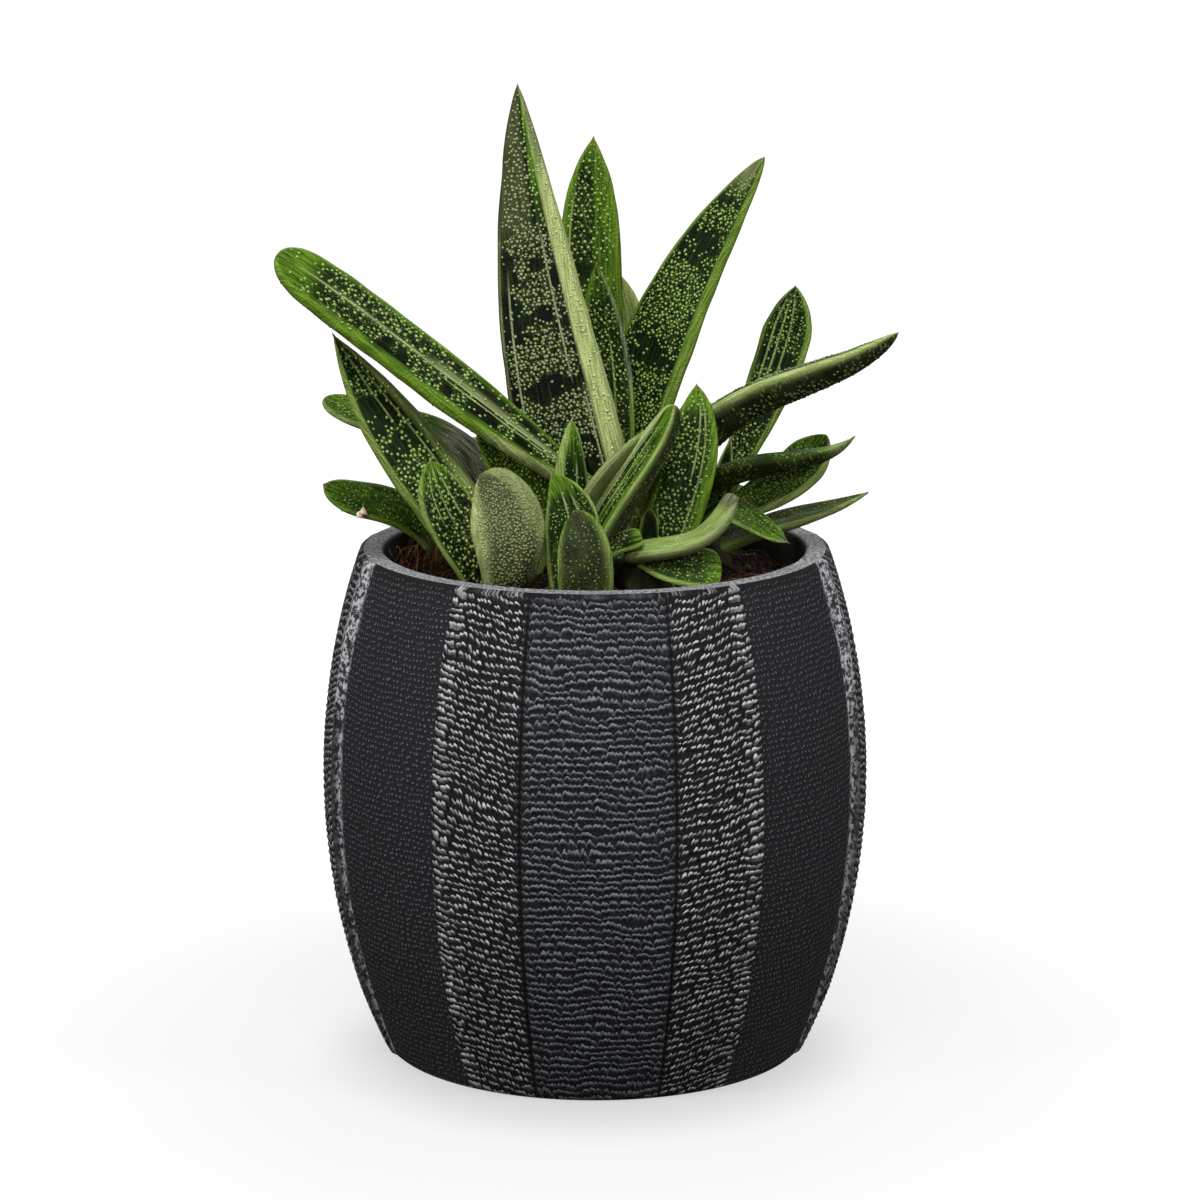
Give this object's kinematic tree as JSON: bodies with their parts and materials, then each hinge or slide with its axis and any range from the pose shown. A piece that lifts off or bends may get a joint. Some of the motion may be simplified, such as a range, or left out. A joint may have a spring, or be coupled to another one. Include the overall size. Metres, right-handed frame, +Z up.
{
  "type": "potted succulent",
  "caption": "Clump of stiff, spotted, tongue-shaped succulent leaves in a dark barrel-shaped pot with rippled panels.",
  "frame": {"origin": "centre of the pot's flat underside", "axes": "+Z up, -Y towards the front, where the leaf with its pale back and the lime leaf stand"},
  "size_m": [0.1655, 0.1496, 0.266],
  "materials": {
    "pot": "satin",
    "soil": "matte",
    "stem": "matte",
    "leaf": "satin"
  },
  "bodies": {
    "root": {"pot": "pot", "soil": "soil", "stem_back": "stem", "stem_east": "stem", "stem_front": "stem", "stem_left": "stem", "stem_main": "stem", "stem_rear": "stem", "stem_right": "stem", "stem_west": "stem", "back_leaf_1": "leaf", "back_leaf_2": "leaf", "back_leaf_3": "leaf", "back_leaf_4": "leaf", "back_leaf_5": "leaf", "back_leaf_6": "leaf", "east_leaf_1": "leaf", "east_leaf_2": "leaf", "east_leaf_3": "leaf", "east_leaf_4": "leaf", "east_leaf_5": "leaf", "east_leaf_6": "leaf", "east_leaf_7": "leaf", "front_leaf_1": "leaf", "front_leaf_2": "leaf", "front_leaf_3": "leaf", "front_leaf_4": "leaf", "left_leaf_1": "leaf", "left_leaf_2": "leaf", "left_leaf_3": "leaf", "left_leaf_4": "leaf", "main_leaf_1": "leaf", "main_leaf_10": "leaf", "main_leaf_11": "leaf", "main_leaf_2": "leaf", "main_leaf_3": "leaf", "main_leaf_4": "leaf", "main_leaf_5": "leaf", "main_leaf_6": "leaf", "main_leaf_7": "leaf", "main_leaf_8": "leaf", "main_leaf_9": "leaf", "rear_leaf_1": "leaf", "rear_leaf_2": "leaf", "rear_leaf_3": "leaf", "rear_leaf_4": "leaf", "rear_leaf_5": "leaf", "right_leaf_1": "leaf", "right_leaf_2": "leaf", "right_leaf_3": "leaf", "right_leaf_4": "leaf", "west_leaf_1": "leaf", "west_leaf_2": "leaf", "west_leaf_3": "leaf", "west_leaf_4": "leaf", "west_leaf_5": "leaf"}
  },
  "joints": []
}
